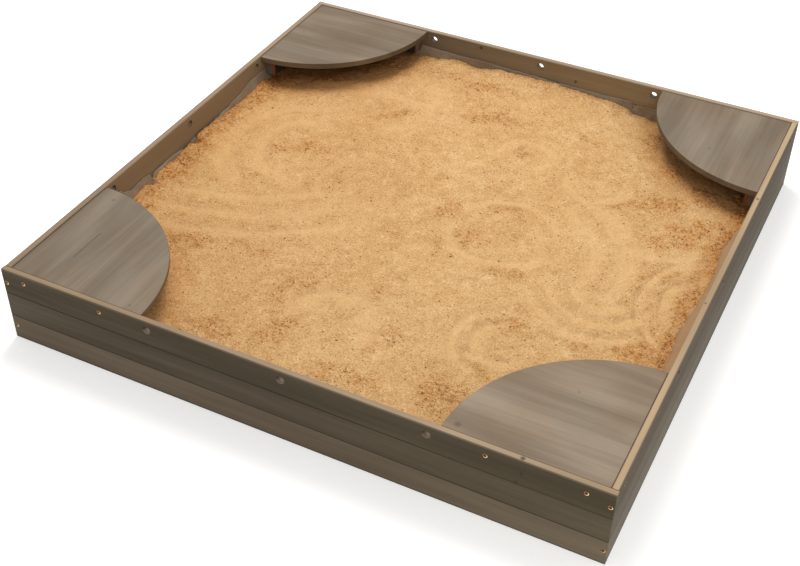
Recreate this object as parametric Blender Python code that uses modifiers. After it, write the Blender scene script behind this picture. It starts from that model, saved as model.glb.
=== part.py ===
"""A square wooden sandbox with corner seats, a ground liner and its sand.

Frame: metres, +Z up, origin on the ground at the middle of the box. The front wall faces -Y.
Each wall is three tongue-and-groove boards. The front and back walls run the full length, and the
side walls butt between them. A quarter-round seat sits in each corner on two cleats.
"""

import math

import bmesh
import bpy
from mathutils import Matrix, Vector

# Driving dimensions
SIDE = 1.235
WALL_HEIGHT = 0.172
STOCK = 0.013
ROWS = ("bottom", "middle", "top")
FIT = 0.0003
WELD = 0.00001
SMOOTH_ANGLE = math.radians(40)

# Board edges
TONGUE_WIDTH = 0.004
TONGUE_HEIGHT = 0.005
JOINT_CHAMFER = 0.0008
RIM_CHAMFER = 0.0012

# Holes for lashing a cover down, three in each wall
LASHING_RADIUS = 0.008
LASHING_DROP = 0.020
LASHING_PITCH = 0.284
LASHING_STEPS = 16
LASHING_OVERRUN = 0.004

# Corner seats and their cleats
SEAT_RADIUS = 0.300
SEAT_DROP = 0.002
SEAT_WALL_GAP = 0.001
SEAT_CHAMFER = 0.001
SEAT_ARC_STEPS = 32
CLEAT_DEPTH = 0.027
CLEAT_HEIGHT = 0.040
CLEAT_REACH = 0.282
CLEAT_CHAMFER = 0.0008

# Wood screws with countersunk heads
SCREW_STEPS = 12
HEAD_RADIUS = 0.0045
HEAD_HEIGHT = 0.0028
HEAD_RIM = 0.0006
HEAD_SINK = 0.0004
SHANK_RADIUS = 0.0019
TIP_LENGTH = 0.005
TIP_RADIUS = 0.0004
RECESS_LENGTH = 0.0046
RECESS_WIDTH = 0.0011
RECESS_DEPTH = 0.0017
CORNER_SCREW_LENGTH = 0.040
CLEAT_SCREW_LENGTH = 0.033
SEAT_SCREW_LENGTH = 0.048
CORNER_SCREW_INSET = 0.0070
CORNER_SCREW_HEIGHTS = {"top": 0.140, "bottom": 0.032}
CLEAT_SCREW_INSETS = {"outer": 0.049, "inner": 0.226}
CLEAT_SCREW_DROP = 0.020
SEAT_SCREW_REACH = 0.140

# Liner and sand
LINER_THICKNESS = 0.0012
LINER_LIFT = 0.0005
LINER_HEIGHT = 0.124
LINER_CLEARANCE = 0.004
SAND_CELLS = 18
SAND_LEVEL = 0.106
# Mounds and hollows in the sand: x, y, radius and how far the middle stands above the level.
SAND_SWELLS = (
    (-0.03, 0.58, 0.13, 0.010),
    (-0.59, 0.03, 0.10, 0.010),
    (0.30, 0.60, 0.07, -0.019),
    (-0.59, 0.33, 0.07, -0.010),
    (-0.60, -0.16, 0.05, -0.009),
    (0.25, -0.10, 0.16, 0.008),
    (-0.10, -0.25, 0.18, -0.008),
    (-0.55, -0.55, 0.08, -0.034),
    (0.55, -0.55, 0.08, -0.034),
    (-0.55, 0.55, 0.08, -0.034),
    (0.55, 0.55, 0.08, -0.034),
    (0.585, 0.37, 0.05, -0.016),
)

# Derived places
HALF = SIDE / 2
INNER = HALF - STOCK
ROW_HEIGHT = WALL_HEIGHT / len(ROWS)
SEAT_TOP = WALL_HEIGHT - SEAT_DROP
SEAT_BOTTOM = SEAT_TOP - STOCK
CLEAT_TOP = SEAT_BOTTOM - FIT
CLEAT_BOTTOM = CLEAT_TOP - CLEAT_HEIGHT
LINER_HALF = INNER - FIT
SAND_HALF = LINER_HALF - LINER_THICKNESS - FIT
SAND_BOTTOM = LINER_LIFT + LINER_THICKNESS + FIT

# Each wall by its name: how far it is turned about +Z from the front wall.
WALL_TURNS = {"front": 0.0, "right": 90.0, "back": 180.0, "left": 270.0}
# Each corner by its name: the signs of its X and Y.
CORNERS = {
    "front_left": (-1, -1),
    "front_right": (1, -1),
    "back_left": (-1, 1),
    "back_right": (1, 1),
}

LOOKS = {
    "wall_wood": ((0.105, 0.088, 0.068), 0.70, 0.0),
    "seat_wood": ((0.265, 0.225, 0.180), 0.65, 0.0),
    "cleat_wood": ((0.230, 0.110, 0.060), 0.75, 0.0),
    "screw_brass": ((0.620, 0.380, 0.200), 0.35, 1.0),
    "liner_fabric": ((0.115, 0.095, 0.080), 0.90, 0.0),
    "sand": ((0.620, 0.390, 0.190), 0.95, 0.0),
}


def clear_scene():
    for obj in list(bpy.data.objects):
        bpy.data.objects.remove(obj, do_unlink=True)


def new_collection(name):
    collection = bpy.data.collections.new(name)
    bpy.context.scene.collection.children.link(collection)
    return collection


def make_materials():
    """One Principled material for each entry of LOOKS."""
    materials = {}
    for name, (colour, roughness, metallic) in LOOKS.items():
        material = bpy.data.materials.new(name)
        material.use_nodes = True
        shader = material.node_tree.nodes["Principled BSDF"]
        shader.inputs["Base Color"].default_value = (*colour, 1.0)
        shader.inputs["Roughness"].default_value = roughness
        shader.inputs["Metallic"].default_value = metallic
        material.diffuse_color = (*colour, 1.0)
        materials[name] = material
    return materials


def add_object(name, mesh, collection, material=None, matrix=Matrix()):
    obj = bpy.data.objects.new(name, mesh)
    obj.matrix_world = matrix
    collection.objects.link(obj)
    if material:
        mesh.materials.clear()
        mesh.materials.append(material)
    return obj


def as_cutter(obj):
    obj.hide_render = True
    obj.display_type = "WIRE"


def cut_with(obj, *cutters):
    """Cuts the solids out of the object, each cutter being an object or a collection of them."""
    for cutter in cutters:
        modifier = obj.modifiers.new("cut", "BOOLEAN")
        modifier.operation = "DIFFERENCE"
        modifier.solver = "EXACT"
        if isinstance(cutter, bpy.types.Collection):
            modifier.operand_type = "COLLECTION"
            modifier.collection = cutter
        else:
            modifier.object = cutter


def chamfer(obj, width):
    modifier = obj.modifiers.new("eased_edges", "BEVEL")
    modifier.width = width
    modifier.segments = 1
    modifier.limit_method = "ANGLE"
    modifier.angle_limit = SMOOTH_ANGLE


def slab_mesh(name, outline, thickness):
    """A mesh of a flat outline, thickness thick and centred on its own XY plane, its caps welded."""
    curve = bpy.data.curves.new(name, "CURVE")
    curve.dimensions = "2D"
    curve.fill_mode = "BOTH"
    curve.extrude = thickness / 2
    spline = curve.splines.new("POLY")
    spline.points.add(len(outline) - 1)
    for point, (x, y) in zip(spline.points, outline):
        point.co = (x, y, 0.0, 1.0)
    spline.use_cyclic_u = True
    flat = bpy.data.objects.new(name, curve)
    bpy.context.scene.collection.objects.link(flat)
    mesh = evaluated_mesh(flat)
    bpy.data.curves.remove(curve)
    work = bmesh.new()
    work.from_mesh(mesh)
    bmesh.ops.remove_doubles(work, verts=work.verts, dist=WELD)
    bmesh.ops.recalc_face_normals(work, faces=work.faces)
    work.to_mesh(mesh)
    work.free()
    return mesh


def box_mesh(name, low, high):
    """A box between two corners."""
    low = Vector(low)
    high = Vector(high)
    size = high - low
    place = Matrix.Translation((low + high) / 2) @ Matrix.Diagonal((*size, 1.0))
    work = bmesh.new()
    bmesh.ops.create_cube(work, size=1.0, matrix=place)
    mesh = bpy.data.meshes.new(name)
    work.to_mesh(mesh)
    work.free()
    return mesh


def evaluated_mesh(obj):
    """The object's mesh with its modifiers applied. The object itself is removed."""
    graph = bpy.context.evaluated_depsgraph_get()
    mesh = bpy.data.meshes.new_from_object(obj.evaluated_get(graph))
    bpy.data.objects.remove(obj, do_unlink=True)
    return mesh


def turned_object(name, profile):
    """A closed turned shape about +Z. The profile runs from its top on the axis, down its outer
    side, to its bottom on the axis, as (radius, height) pairs."""
    mesh = bpy.data.meshes.new(name)
    points = [(radius, 0.0, height) for radius, height in profile]
    mesh.from_pydata(points, [(i, i + 1) for i in range(len(points) - 1)], [])
    obj = bpy.data.objects.new(name, mesh)
    bpy.context.scene.collection.objects.link(obj)
    turn = obj.modifiers.new("turn", "SCREW")
    turn.steps = SCREW_STEPS
    turn.render_steps = SCREW_STEPS
    turn.use_merge_vertices = True
    turn.merge_threshold = WELD
    return obj


def turned_about_z(degrees):
    return Matrix.Rotation(math.radians(degrees), 4, "Z")


# Wall boards


def board_outline(row, height):
    """A board's cross-section: x is across its thickness, y is up from its lower edge."""
    half = STOCK / 2
    has_groove = row != "bottom"
    has_tongue = row != "top"
    top_ease = JOINT_CHAMFER if has_tongue else RIM_CHAMFER
    right = [
        (half - JOINT_CHAMFER, 0.0),
        (half, JOINT_CHAMFER),
        (half, height - top_ease),
        (half - top_ease, height),
    ]
    left = [(-x, y) for x, y in reversed(right)]
    outline = list(right)
    if has_tongue:
        side = TONGUE_WIDTH / 2
        crest = height + TONGUE_HEIGHT
        outline += [(side, height), (side, crest), (-side, crest), (-side, height)]
    outline += left
    if has_groove:
        side = TONGUE_WIDTH / 2 + FIT
        depth = TONGUE_HEIGHT + FIT
        outline += [(-side, 0.0), (-side, depth), (side, depth), (side, 0.0)]
    return outline


def add_wall(wall, boards, holes, material):
    """Three boards, one above the other. The corner screws go through the top and bottom ones."""
    runs_full_length = wall in ("front", "back")
    length = SIDE if runs_full_length else SIDE - 2 * (STOCK + FIT)
    # Stands the cross-section upright, with the board's length along X.
    upright = Matrix(((0, 0, 1, 0), (1, 0, 0, 0), (0, 1, 0, 0), (0, 0, 0, 1)))
    for index, row in enumerate(ROWS):
        lift = index * ROW_HEIGHT
        gap = FIT if row != "bottom" else 0.0
        mesh = slab_mesh(f"{wall}_board_{row}", board_outline(row, ROW_HEIGHT - gap), length)
        mesh.transform(upright)
        place = turned_about_z(WALL_TURNS[wall]) @ Matrix.Translation((0, -HALF + STOCK / 2, lift + gap))
        board = add_object(f"{wall}_board_{row}", mesh, boards, material, place)
        if row in CORNER_SCREW_HEIGHTS:
            cut_with(board, *[holes[corner] for corner in CORNERS if wall in corner])
        if row == "top":
            cut_with(board, holes[wall])


def add_lashing_holes(holes):
    """Three holes through each wall, on one line below the rim."""
    across = Matrix.Rotation(math.radians(90), 4, "X")
    for wall, turn in WALL_TURNS.items():
        for step in (-1, 0, 1):
            work = bmesh.new()
            bmesh.ops.create_cone(
                work,
                cap_ends=True,
                segments=LASHING_STEPS,
                radius1=LASHING_RADIUS,
                radius2=LASHING_RADIUS,
                depth=STOCK + 2 * LASHING_OVERRUN,
            )
            mesh = bpy.data.meshes.new("lashing_hole")
            work.to_mesh(mesh)
            work.free()
            spot = (step * LASHING_PITCH, -HALF + STOCK / 2, WALL_HEIGHT - LASHING_DROP)
            place = turned_about_z(turn) @ Matrix.Translation(spot) @ across
            as_cutter(add_object(f"lashing_hole_{wall}_{step + 1}", mesh, holes[wall], matrix=place))


# Screws


def screw_profile(length, spare):
    """A countersunk screw's side, head up at z = 0. Spare widens and lengthens it for its hole."""
    head = HEAD_RADIUS + spare
    shank = SHANK_RADIUS + spare
    mouth = [(0.0, 0.0), (head, 0.0)]
    if spare:
        mouth = [(0.0, HEAD_SINK + FIT), (head, HEAD_SINK + FIT)]
    return mouth + [
        (head, -HEAD_RIM - spare),
        (shank, -HEAD_HEIGHT - spare),
        (shank, TIP_LENGTH - length - spare),
        (TIP_RADIUS + spare, -length - spare),
        (0.0, -length - spare),
    ]


def recess_bars():
    """The two crossed bars that are cut out of a screw's head."""
    scene_root = bpy.context.scene.collection
    half = Vector((RECESS_LENGTH, RECESS_WIDTH, 2 * RECESS_DEPTH)) / 2
    bar = box_mesh("recess_bar", -half, half)
    return [add_object("recess_bar", bar, scene_root, matrix=turned_about_z(turn)) for turn in (0, 90)]


def screw_meshes(length):
    """The solid of a screw, its recess cut, and the solid of the hole it sits in."""
    blank = turned_object("screw", screw_profile(length, 0.0))
    bars = recess_bars()
    cut_with(blank, *bars)
    solid = evaluated_mesh(blank)
    for bar in bars:
        bpy.data.objects.remove(bar, do_unlink=True)
    solid.shade_smooth()
    solid.set_sharp_from_angle(angle=SMOOTH_ANGLE)
    hole = evaluated_mesh(turned_object("screw_hole", screw_profile(length, FIT)))
    return solid, hole


def add_screw(name, meshes, head, direction, screws, cutters, material):
    """One screw with its head at a point on a face, driven along a direction, and its hole."""
    direction = Vector(direction)
    turn = direction.to_track_quat("-Z", "X").to_matrix().to_4x4()
    place = Matrix.Translation(Vector(head) + HEAD_SINK * direction) @ turn
    solid, hole = meshes
    add_object(name, solid, screws, material, place)
    as_cutter(add_object(f"{name}_hole", hole, cutters, matrix=place))


def add_corner_screws(screws, holes, material):
    """Through the front and back walls into the end grain of the side walls."""
    meshes = screw_meshes(CORNER_SCREW_LENGTH)
    for corner, (sx, sy) in CORNERS.items():
        for row, height in CORNER_SCREW_HEIGHTS.items():
            head = (sx * (HALF - CORNER_SCREW_INSET), sy * HALF, height)
            name = f"corner_screw_{corner}_{row}"
            add_screw(name, meshes, head, (0, -sy, 0), screws, holes[corner], material)


def add_cleat_screws(screws, holes, material):
    """Through each wall into the cleat behind it, two to a cleat."""
    meshes = screw_meshes(CLEAT_SCREW_LENGTH)
    height = WALL_HEIGHT - CLEAT_SCREW_DROP
    for corner, (sx, sy) in CORNERS.items():
        wall = corner.split("_")[0]
        for spot, inset in CLEAT_SCREW_INSETS.items():
            along = HALF - inset
            head = (sx * along, sy * HALF, height)
            name = f"cleat_screw_{corner}_{wall}_{spot}"
            add_screw(name, meshes, head, (0, -sy, 0), screws, holes[corner], material)
            head = (sx * HALF, sy * along, height)
            name = f"cleat_screw_{corner}_side_{spot}"
            add_screw(name, meshes, head, (-sx, 0, 0), screws, holes[corner], material)


def add_seat_screws(screws, holes, material):
    """Up through each cleat into the seat on it."""
    meshes = screw_meshes(SEAT_SCREW_LENGTH)
    across = INNER - CLEAT_DEPTH / 2
    along = INNER - SEAT_SCREW_REACH
    for corner, (sx, sy) in CORNERS.items():
        wall = corner.split("_")[0]
        for side, x, y in ((wall, along, across), ("side", across, along)):
            head = (sx * x, sy * y, CLEAT_BOTTOM)
            name = f"seat_screw_{corner}_{side}"
            add_screw(name, meshes, head, (0, 0, 1), screws, holes[corner], material)


# Seats and cleats


def add_seats(parts, holes, material):
    """A quarter disc in each corner, its point and straight edges just clear of the walls."""
    turns = [math.radians(90) * step / SEAT_ARC_STEPS for step in range(SEAT_ARC_STEPS + 1)]
    arc = [(SEAT_RADIUS * math.cos(turn), SEAT_RADIUS * math.sin(turn)) for turn in turns]
    clear = [(max(x, SEAT_WALL_GAP), max(y, SEAT_WALL_GAP)) for x, y in arc]
    outline = [(SEAT_WALL_GAP, SEAT_WALL_GAP)] + clear
    for corner, (sx, sy) in CORNERS.items():
        placed = [(-sx * x, -sy * y) for x, y in outline]
        if sx * sy < 0:
            placed.reverse()
        mesh = slab_mesh(f"seat_{corner}", placed, STOCK)
        place = Matrix.Translation((sx * INNER, sy * INNER, SEAT_BOTTOM + STOCK / 2))
        seat = add_object(f"seat_{corner}", mesh, parts, material, place)
        chamfer(seat, SEAT_CHAMFER)
        cut_with(seat, holes[corner])


def add_cleats(parts, holes, material):
    """A bar along each wall under each seat. The side bars butt against the front and back ones."""
    near = INNER - FIT
    far = INNER - CLEAT_REACH
    inner = INNER - CLEAT_DEPTH
    for corner, (sx, sy) in CORNERS.items():
        wall = corner.split("_")[0]
        spans = {
            wall: ((far, near), (inner, near)),
            "side": ((inner, near), (far, inner - FIT)),
        }
        for side, (span_x, span_y) in spans.items():
            xs = sorted(sx * x for x in span_x)
            ys = sorted(sy * y for y in span_y)
            name = f"cleat_{corner}_{side}"
            mesh = box_mesh(name, (xs[0], ys[0], CLEAT_BOTTOM), (xs[1], ys[1], CLEAT_TOP))
            cleat = add_object(name, mesh, parts, material)
            chamfer(cleat, CLEAT_CHAMFER)
            cut_with(cleat, holes[corner])


# Liner and sand


def add_liner(parts, material):
    """A fabric tray on the ground inside the walls, its sides stopping under the cleats."""
    mesh = box_mesh("liner", (-LINER_HALF, -LINER_HALF, LINER_LIFT), (LINER_HALF, LINER_HALF, LINER_HEIGHT))
    work = bmesh.new()
    work.from_mesh(mesh)
    lids = [face for face in work.faces if face.normal.z > 0.5]
    bmesh.ops.delete(work, geom=lids, context="FACES_ONLY")
    work.to_mesh(mesh)
    work.free()
    liner = add_object("liner", mesh, parts, material)
    shell = liner.modifiers.new("fabric", "SOLIDIFY")
    shell.thickness = LINER_THICKNESS
    shell.offset = -1.0
    shell.use_even_offset = True
    clearances = new_collection("liner_cutters")
    for corner, (sx, sy) in CORNERS.items():
        start = INNER - CLEAT_REACH - LINER_CLEARANCE
        spans = [sorted((sign * start, sign * HALF)) for sign in (sx, sy)]
        low = (spans[0][0], spans[1][0], CLEAT_BOTTOM - 2 * FIT)
        high = (spans[0][1], spans[1][1], WALL_HEIGHT)
        as_cutter(add_object(f"liner_clearance_{corner}", box_mesh("clearance", low, high), clearances))
    cut_with(liner, clearances)


def sand_height(x, y):
    """The sand's top: a level fill with low mounds and hollows."""
    height = SAND_LEVEL
    for middle_x, middle_y, radius, rise in SAND_SWELLS:
        spread = ((x - middle_x) ** 2 + (y - middle_y) ** 2) / (2 * radius**2)
        height += rise * math.exp(-spread)
    return height


def add_sand(parts, material):
    """A grid lifted to the sand's top, its rim drawn down to the liner and closed underneath."""
    work = bmesh.new()
    bmesh.ops.create_grid(work, x_segments=SAND_CELLS, y_segments=SAND_CELLS, size=SAND_HALF)
    rim = [edge for edge in work.edges if edge.is_boundary]
    for vert in work.verts:
        vert.co.z = sand_height(vert.co.x, vert.co.y)
    drawn = bmesh.ops.extrude_edge_only(work, edges=rim)["geom"]
    for vert in drawn:
        if isinstance(vert, bmesh.types.BMVert):
            vert.co.z = SAND_BOTTOM
    base = [edge for edge in drawn if isinstance(edge, bmesh.types.BMEdge) and edge.is_boundary]
    bmesh.ops.holes_fill(work, edges=base, sides=0)
    bmesh.ops.recalc_face_normals(work, faces=work.faces)
    mesh = bpy.data.meshes.new("sand_fill")
    work.to_mesh(mesh)
    work.free()
    add_object("sand_fill", mesh, parts, material)


def main():
    clear_scene()
    materials = make_materials()
    parts = new_collection("sandbox")
    # The holes are grouped by the wall or the corner that they are in.
    holes = {place: new_collection(f"holes_{place}") for place in (*WALL_TURNS, *CORNERS)}
    add_lashing_holes(holes)
    for add_screws in (add_corner_screws, add_cleat_screws, add_seat_screws):
        add_screws(parts, holes, materials["screw_brass"])
    for wall in WALL_TURNS:
        add_wall(wall, parts, holes, materials["wall_wood"])
    add_seats(parts, holes, materials["seat_wood"])
    add_cleats(parts, holes, materials["cleat_wood"])
    add_liner(parts, materials["liner_fabric"])
    add_sand(parts, materials["sand"])


main()
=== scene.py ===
"""Looks for the sandbox: stained wood, brass screws, a creased fabric liner and raked sand.

Metres, +Z up, the front wall facing -Y. The walls, seats, cleats and screws are the frame's own
nodes with new materials. The liner and the sand are detailed pieces that stand for plain nodes.
"""

import math

import bmesh
import bpy
import numpy as np
from mathutils import Euler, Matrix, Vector


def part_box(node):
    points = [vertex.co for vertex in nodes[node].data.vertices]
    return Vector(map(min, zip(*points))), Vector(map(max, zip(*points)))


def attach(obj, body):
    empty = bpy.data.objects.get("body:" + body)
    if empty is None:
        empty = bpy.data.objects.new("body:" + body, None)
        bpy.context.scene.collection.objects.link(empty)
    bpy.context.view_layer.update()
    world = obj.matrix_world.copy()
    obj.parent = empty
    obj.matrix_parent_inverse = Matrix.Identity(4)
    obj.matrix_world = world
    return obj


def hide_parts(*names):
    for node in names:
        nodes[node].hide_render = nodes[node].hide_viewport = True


# Camera and light
CAMERA_PLACE = (0.893, -1.957, 1.701)
CAMERA_TURN = (50.309, -0.553, 26.730)
CAMERA_LENS = 57.0
WORLD_COLOUR = (1.0, 0.99, 0.97)
WORLD_STRENGTH = 0.62
# Each light's place, size across, power and colour
LIGHTS = {
    "key": ((-0.5, 0.9, 2.8), 1.5, 54.0, (1.0, 0.98, 0.95)),
    "fill": ((1.6, -1.2, 2.4), 2.0, 14.0, (1.0, 0.98, 0.96)),
}
# The floor's half width, and how much it glows by itself
FLOOR_REACH = 40.0
FLOOR_GLOW = 0.36

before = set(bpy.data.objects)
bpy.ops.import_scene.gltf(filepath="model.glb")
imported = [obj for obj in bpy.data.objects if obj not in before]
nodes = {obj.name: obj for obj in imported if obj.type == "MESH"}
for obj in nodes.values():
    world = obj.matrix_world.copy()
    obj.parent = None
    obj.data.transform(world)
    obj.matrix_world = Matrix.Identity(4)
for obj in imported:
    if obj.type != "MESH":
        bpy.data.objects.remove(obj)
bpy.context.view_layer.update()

# Places read from the frame
wall_low, wall_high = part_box("front_board_bottom")
WALL_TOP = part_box("front_board_top")[1].z
HALF = wall_high.x
STOCK = wall_high.y - wall_low.y
INNER = HALF - STOCK
ROW_HEIGHT = WALL_TOP / 3
SAND_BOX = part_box("sand_fill")
LINER_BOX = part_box("liner")
SEAT_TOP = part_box("seat_front_left")[1].z
SEAT_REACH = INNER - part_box("seat_back_right")[0].x
CLEAT_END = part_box("cleat_back_right_side")[0].y

# How far down the rim's bare wood goes
RIM_SKIN = 0.0025

# The lashing holes, three along each wall
HOLE_PITCH = 0.284
HOLE_HEIGHT = WALL_TOP - 0.020
HOLE_RADIUS = 0.008

# The wood's grain: how closely each of its noises is spaced along and across it, how far it sways,
# and how far apart in it the rows, sides, cleats and seats start
GRAIN_DRIFT = (2.2, 7.0, 7.0)
GRAIN_SWAY = 0.034
GRAIN_BANDS = (1.6, 26.0, 26.0)
GRAIN_STREAKS = (5.0, 150.0, 150.0)
GRAIN_FIBRES = (30.0, 1100.0, 1100.0)
GRAIN_PORES = (26.0, 620.0, 620.0)
ROW_SEED = 3.7
SIDE_SEED = 11.3
CLEAT_SEED = 5.0
SEAT_SEED_STEP = 17.0

# Tones of the materials: (position, colour) stops, tints and single colours
WALL_STAIN = (
    (0.32, (0.062, 0.046, 0.027)),
    (0.50, (0.079, 0.058, 0.035)),
    (0.68, (0.096, 0.073, 0.047)),
)
INSIDE_STAIN = (
    (0.32, (0.190, 0.138, 0.077)),
    (0.50, (0.222, 0.163, 0.093)),
    (0.68, (0.255, 0.190, 0.112)),
)
# The inner faces' tints towards -X and towards +X.
INSIDE_TINTS = {
    "X": ((0.67, 0.69, 0.77), (1.18, 1.14, 1.12)),
    "Y": ((1.10, 1.04, 1.04), (1.0, 1.0, 1.0)),
}
# The bottom, middle and top boards' tints, and how the lower ones pale towards the right.
BOARD_TINTS = {
    "X": ((1.35, 1.33, 1.30), (0.86, 0.84, 0.74), (0.68, 0.66, 0.48)),
    "Y": ((1.92, 2.06, 2.34), (1.26, 1.23, 1.17), (0.80, 0.67, 0.33)),
}
PALE_TINTS = {"X": (1.60, 1.67, 1.80), "Y": (1.0, 1.0, 1.0)}
# The side walls are darker towards the back.
FAR_TINTS = {"X": (1.0, 1.0, 1.0), "Y": (0.70, 0.70, 0.64)}
# How dark the joints between the boards are, and how strong the grain is.
JOINT_DEPTHS = {"X": 0.75, "Y": 0.20}
GRAIN_DEPTHS = {"X": 1.0, "Y": 0.45}
WALL_PORES = (0.045, 0.034, 0.024)
WALL_JOINTS = (0.020, 0.015, 0.010)
# The painted contact shade along the walls' foot.
WALL_FOOT_SHADE = (0.020, 0.016, 0.012)
WALL_KNOT = (0.035, 0.022, 0.013)
# The lashing holes' painted shade, and their painted lit side.
BORE_SHADE_AND_LIGHT = ((0.075, 0.042, 0.026), (0.27, 0.21, 0.15))
RIM_WOOD = ((0.30, (0.28, 0.200, 0.130)), (0.50, (0.36, 0.270, 0.178)), (0.70, (0.45, 0.350, 0.240)))
# The rim's tints on the wall towards -X or -Y, and on the one towards +X or +Y.
RIM_TINTS = {
    "X": ((0.86, 0.82, 0.78), (1.03, 1.06, 1.10)),
    "Y": ((0.78, 0.73, 0.74), (1.25, 1.21, 1.12)),
}
SEAT_STAIN = (
    (0.375, (0.160, 0.128, 0.094)),
    (0.50, (0.212, 0.174, 0.132)),
    (0.625, (0.272, 0.229, 0.180)),
)
SEAT_CLOUDS = ((0.35, (0.98, 0.94, 0.90)), (0.65, (1.02, 1.06, 1.10)))
SEAT_EDGE = (0.68, 0.64, 0.56)
SEAT_PORES = (0.085, 0.066, 0.048)
SEAT_MARK = (0.050, 0.034, 0.022)
SEAT_CRACK = (0.040, 0.028, 0.018)
# The cleats' dark stain, which also stands for painted shade under the seats.
CLEAT_STAIN_AND_SHADE = ((0.3, (0.022, 0.018, 0.014)), (0.7, (0.048, 0.039, 0.030)))
SAWN_WOOD = ((0.2, (0.130, 0.108, 0.088)), (0.6, (0.190, 0.160, 0.130)))
RAW_WOOD = ((0.2, (0.19, 0.062, 0.026)), (0.6, (0.33, 0.122, 0.052)))
BRASS = ((0.35, (0.70, 0.38, 0.14)), (0.55, (0.95, 0.64, 0.28)), (0.70, (1.0, 0.82, 0.46)))
# The screw ring's painted shade side, and its recess painted dark as shade.
BRASS_PAINTED_SHADE = (0.30, 0.145, 0.055)
SCREW_RECESS_SHADE = (0.040, 0.012, 0.007)
LINER_TONES = (
    (0.35, (0.178, 0.130, 0.082)),
    (0.52, (0.240, 0.182, 0.120)),
    (0.68, (0.310, 0.245, 0.168)),
)
# Painted shade on the liner along the middle of the back wall.
LINER_BACK_SHADE = (0.79, 0.72, 0.67)
LINER_DUST = ((0.3, (0.34, 0.175, 0.068)), (0.7, (0.46, 0.250, 0.102)))
# A painted highlight along the liner's hem.
LINER_HEM_HIGHLIGHT = (0.40, 0.35, 0.30)
SAND_TONES = (
    (0.36, (0.430, 0.222, 0.078)),
    (0.46, (0.560, 0.326, 0.133)),
    (0.545, (0.640, 0.393, 0.174)),
    (0.65, (0.740, 0.517, 0.277)),
)
SAND_DARK = (0.27, 0.096, 0.024)
SAND_PALE = (0.98, 0.74, 0.42)
SAND_DEEP = (0.97, 0.78, 0.56)
# Painted shade in the gaps between crumbs, and painted highlights on their tops.
SAND_GAP_SHADE = (0.20, 0.075, 0.022)
SAND_TOP_HIGHLIGHT = (0.88, 0.53, 0.24)
SAND_SWEPT = (0.72, 0.465, 0.222)
# Painted shade by the back seats, and painted warm shade by the front left one.
SAND_SEAT_SHADE = (0.82, 0.72, 0.62)
SAND_WARM_SHADE = (1.0, 0.90, 0.80)
# Bits in the sand, partly painted shadows and highlights of clods: how closely they are spaced, their
# radius in spacings, how rare they are, their colour and how much of it shows.
SAND_BITS_SHADOWS_AND_HIGHLIGHTS = (
    (84.0, 0.19, 0.945, (0.080, 0.026, 0.006), 0.95),
    (150.0, 0.29, 0.885, (0.140, 0.048, 0.012), 0.90),
    (235.0, 0.36, 0.74, (0.27, 0.115, 0.040), 0.65),
    (190.0, 0.28, 0.985, (0.90, 0.72, 0.48), 0.45),
)
# The sand's tint from the left wall, at 0, to the right wall, at 1.
SAND_ACROSS = (
    (0.0, (0.88, 0.80, 0.71)),
    (0.06, (0.92, 0.875, 0.81)),
    (0.13, (0.94, 0.905, 0.87)),
    (0.30, (0.96, 0.935, 0.92)),
    (0.50, (1.0, 1.0, 1.0)),
    (0.94, (1.0, 1.0, 1.0)),
    (1.0, (0.89, 0.81, 0.73)),
)


# Noise over the plane


def lattice_noise(x, y, period, seed):
    """Smooth noise from about -1 to 1, its lumps about one period across."""
    size = 256
    turns = np.random.default_rng(seed).uniform(0, 2 * math.pi, (size, size))
    gx, gy = np.asarray(x) / period + size / 2, np.asarray(y) / period + size / 2
    cx, cy = np.floor(gx).astype(int), np.floor(gy).astype(int)
    fx, fy = gx - cx, gy - cy
    corners = []
    for dy in (0, 1):
        for dx in (0, 1):
            turn = turns[(cx + dx) % size, (cy + dy) % size]
            corners.append(np.cos(turn) * (fx - dx) + np.sin(turn) * (fy - dy))
    sx, sy = (f**3 * (f * (f * 6 - 15) + 10) for f in (fx, fy))
    low = corners[0] + sx * (corners[1] - corners[0])
    high = corners[2] + sx * (corners[3] - corners[2])
    return 1.5 * (low + sy * (high - low))


def fractal(x, y, period, octaves, seed, gain=0.5):
    """Noise with finer and finer lumps added to it."""
    total = 0.0
    for octave in range(octaves):
        total = total + gain**octave * lattice_noise(x, y, period / 2**octave, seed + octave)
    return total


def smooth_step(value, start, end):
    """Eased from 0 at start to 1 at end."""
    share = np.clip((value - start) / (end - start), 0.0, 1.0)
    return share * share * (3 - 2 * share)


# Materials


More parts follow.
